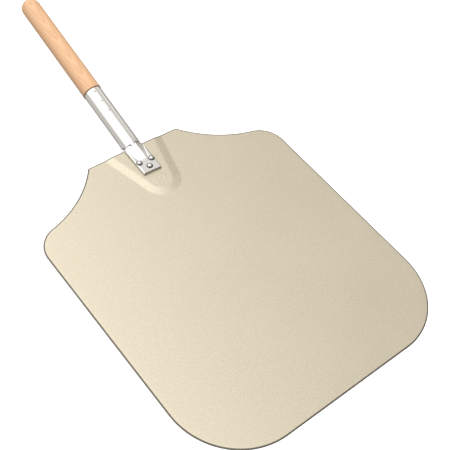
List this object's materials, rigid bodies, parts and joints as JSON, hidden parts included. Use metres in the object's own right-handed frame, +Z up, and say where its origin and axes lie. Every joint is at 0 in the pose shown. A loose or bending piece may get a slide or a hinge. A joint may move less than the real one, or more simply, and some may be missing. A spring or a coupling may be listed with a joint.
{
  "type": "pizza peel",
  "caption": "Flat aluminium pizza peel: wide blade with rounded corners and concave shoulders, a pressed tube socket riveted on a raised boss, and a short round wooden handle.",
  "frame": {"origin": "middle of the flat blade's underside, halfway between its back and front edges", "axes": "+Z up out of the blade's load face, +Y to the blade's front edge, the handle runs off along -Y and rises"},
  "size_m": [0.3556, 0.6614, 0.0717],
  "materials": {
    "blade_aluminium": "fine satin rolled sheet with a warm tint",
    "socket_aluminium": "bright drawn tube",
    "handle_wood": "smooth light beech, oiled",
    "rivet_metal": "bright domed head",
    "pin_steel": "plain"
  },
  "bodies": {
    "root": {"blade": "blade_aluminium", "socket": "socket_aluminium", "handle": "handle_wood", "rivet_left": "rivet_metal", "rivet_right": "rivet_metal", "rivet_front": "rivet_metal", "handle_pin_1": "pin_steel", "handle_pin_2": "pin_steel", "handle_pin_3": "pin_steel"}
  },
  "joints": []
}
